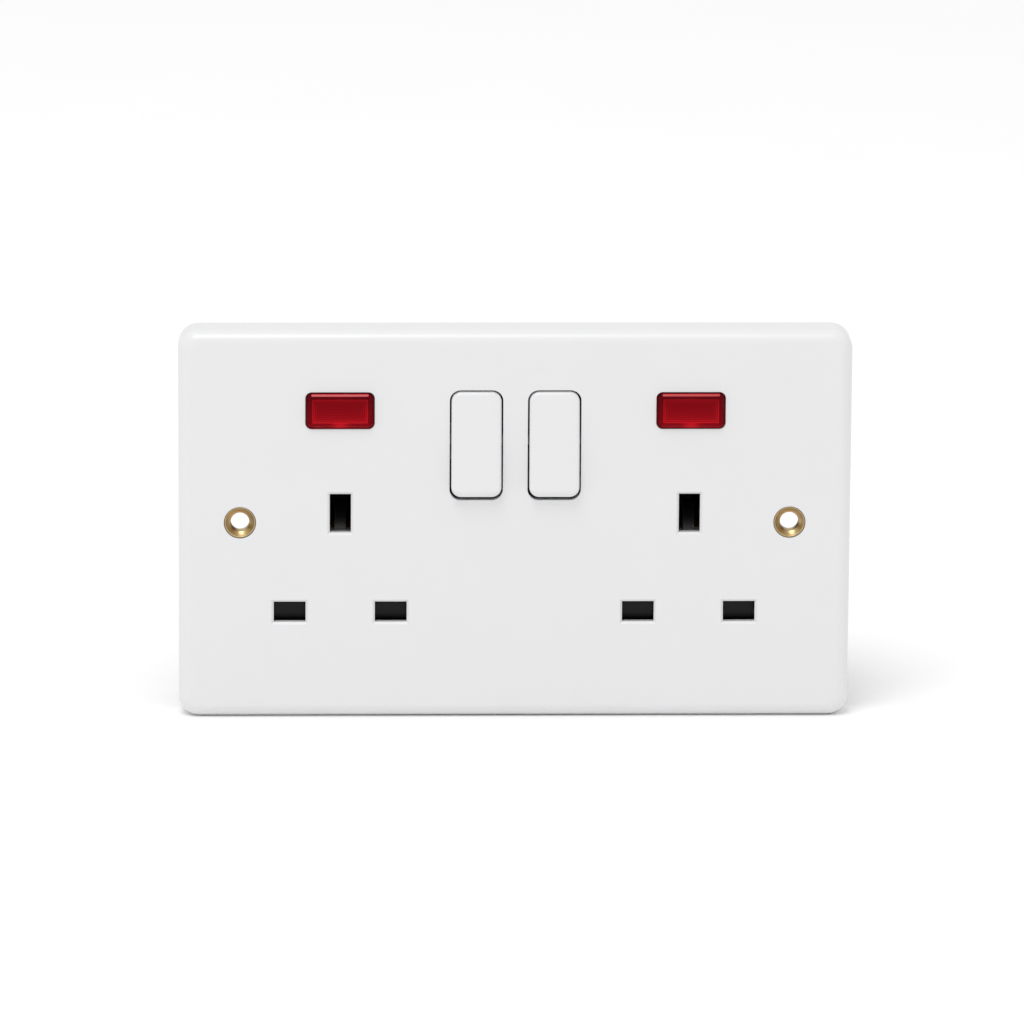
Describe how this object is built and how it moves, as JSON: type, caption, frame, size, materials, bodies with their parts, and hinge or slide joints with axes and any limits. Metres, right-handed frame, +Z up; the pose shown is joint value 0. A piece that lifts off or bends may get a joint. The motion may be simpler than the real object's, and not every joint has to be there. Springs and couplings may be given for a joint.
{
  "type": "twin switched socket outlet",
  "caption": "Wall socket outlet for two plugs with flat pins: white plate, two rocker switches, red neon windows, black safety shutters, brass eyelets, and contacts and terminals behind.",
  "frame": {"origin": "centre of the plate's rear rim, in the plane of the wall", "axes": "+X to the right as a person faces the plate, +Z up, +Y into the wall"},
  "size_m": [0.1476, 0.0328, 0.087],
  "materials": {
    "white_moulding": "white urea moulding, polished",
    "rocker_moulding": "white moulding, polished",
    "base_moulding": "white moulding, satin",
    "shutter_moulding": "black moulding, satin",
    "plunger_moulding": "natural nylon",
    "neon_lens": "clear red moulding",
    "lamp_glass": "clear glass",
    "resistor": "lacquered",
    "eyelet_brass": "turned, bright",
    "contact_brass": "pressed, dull",
    "terminal_brass": "machined",
    "spring_steel": "drawn wire",
    "screw_steel": "zinc plated"
  },
  "bodies": {
    "socket": {"assembly_screws": "screw_steel", "earth_contact_left": "contact_brass", "earth_contact_right": "contact_brass", "earth_strap": "contact_brass", "earth_terminal": "terminal_brass", "fixing_eyelet_left": "eyelet_brass", "fixing_eyelet_right": "eyelet_brass", "front_plate": "white_moulding", "live_contact_left": "contact_brass", "live_contact_right": "contact_brass", "live_feed": "contact_brass", "live_link_left": "contact_brass", "live_link_right": "contact_brass", "live_terminal": "terminal_brass", "neon_lamp_left": "lamp_glass", "neon_lamp_right": "lamp_glass", "neon_lens_left": "neon_lens", "neon_lens_right": "neon_lens", "neon_resistor_left": "resistor", "neon_resistor_right": "resistor", "neutral_bar": "contact_brass", "neutral_contact_left": "contact_brass", "neutral_contact_right": "contact_brass", "neutral_terminal": "terminal_brass", "rear_base": "base_moulding", "shutter_spring_left": "spring_steel", "shutter_spring_right": "spring_steel", "terminal_screws": "screw_steel"},
    "rocker_left": {"rocker_left": "rocker_moulding", "rocker_spring_left": "spring_steel"},
    "rocker_right": {"rocker_right": "rocker_moulding", "rocker_spring_right": "spring_steel"},
    "plunger_left": {"rocker_plunger_left": "plunger_moulding"},
    "plunger_right": {"rocker_plunger_right": "plunger_moulding"},
    "moving_contact_left": {"moving_contact_left": "contact_brass"},
    "moving_contact_right": {"moving_contact_right": "contact_brass"},
    "shutter_left": {"shutter_left": "shutter_moulding"},
    "shutter_right": {"shutter_right": "shutter_moulding"}
  },
  "joints": [
    {"name": "rocker_left_pivot", "type": "hinge", "parent": "socket", "child": "rocker_left", "pos_m": [-0.00863, -0.0045, 0.0182], "axis": [1, 0, 0], "range_deg": [0, 10]},
    {"name": "plunger_left_slide", "type": "slide", "parent": "rocker_left", "child": "plunger_left", "axis": [0, -0.9962, 0.0872], "range_m": [0, 0.0015], "stiffness_N_per_m": 100, "springref_m": -0.002, "deforming": ["rocker_spring_left"]},
    {"name": "moving_contact_left_rock", "type": "hinge", "parent": "socket", "child": "moving_contact_left", "pos_m": [-0.00863, 0.00485, 0.0182], "axis": [1, 0, 0], "range_deg": [-16, 0]},
    {"name": "shutter_left_slide", "type": "slide", "parent": "socket", "child": "shutter_left", "axis": [0, 0, -1], "range_m": [0, 0.0058], "stiffness_N_per_m": 60, "springref_m": -0.004, "deforming": ["shutter_spring_left"]},
    {"name": "rocker_right_pivot", "type": "hinge", "parent": "socket", "child": "rocker_right", "pos_m": [0.00863, -0.0045, 0.0182], "axis": [1, 0, 0], "range_deg": [0, 10]},
    {"name": "plunger_right_slide", "type": "slide", "parent": "rocker_right", "child": "plunger_right", "axis": [0, -0.9962, 0.0872], "range_m": [0, 0.0015], "stiffness_N_per_m": 100, "springref_m": -0.002, "deforming": ["rocker_spring_right"]},
    {"name": "moving_contact_right_rock", "type": "hinge", "parent": "socket", "child": "moving_contact_right", "pos_m": [0.00863, 0.00485, 0.0182], "axis": [1, 0, 0], "range_deg": [-16, 0]},
    {"name": "shutter_right_slide", "type": "slide", "parent": "socket", "child": "shutter_right", "axis": [0, 0, -1], "range_m": [0, 0.0058], "stiffness_N_per_m": 60, "springref_m": -0.004, "deforming": ["shutter_spring_right"]}
  ],
  "couplings": [
    {"joint": "moving_contact_left_rock", "follows": "rocker_left_pivot", "ratio": -1.6},
    {"joint": "moving_contact_right_rock", "follows": "rocker_right_pivot", "ratio": -1.6}
  ]
}
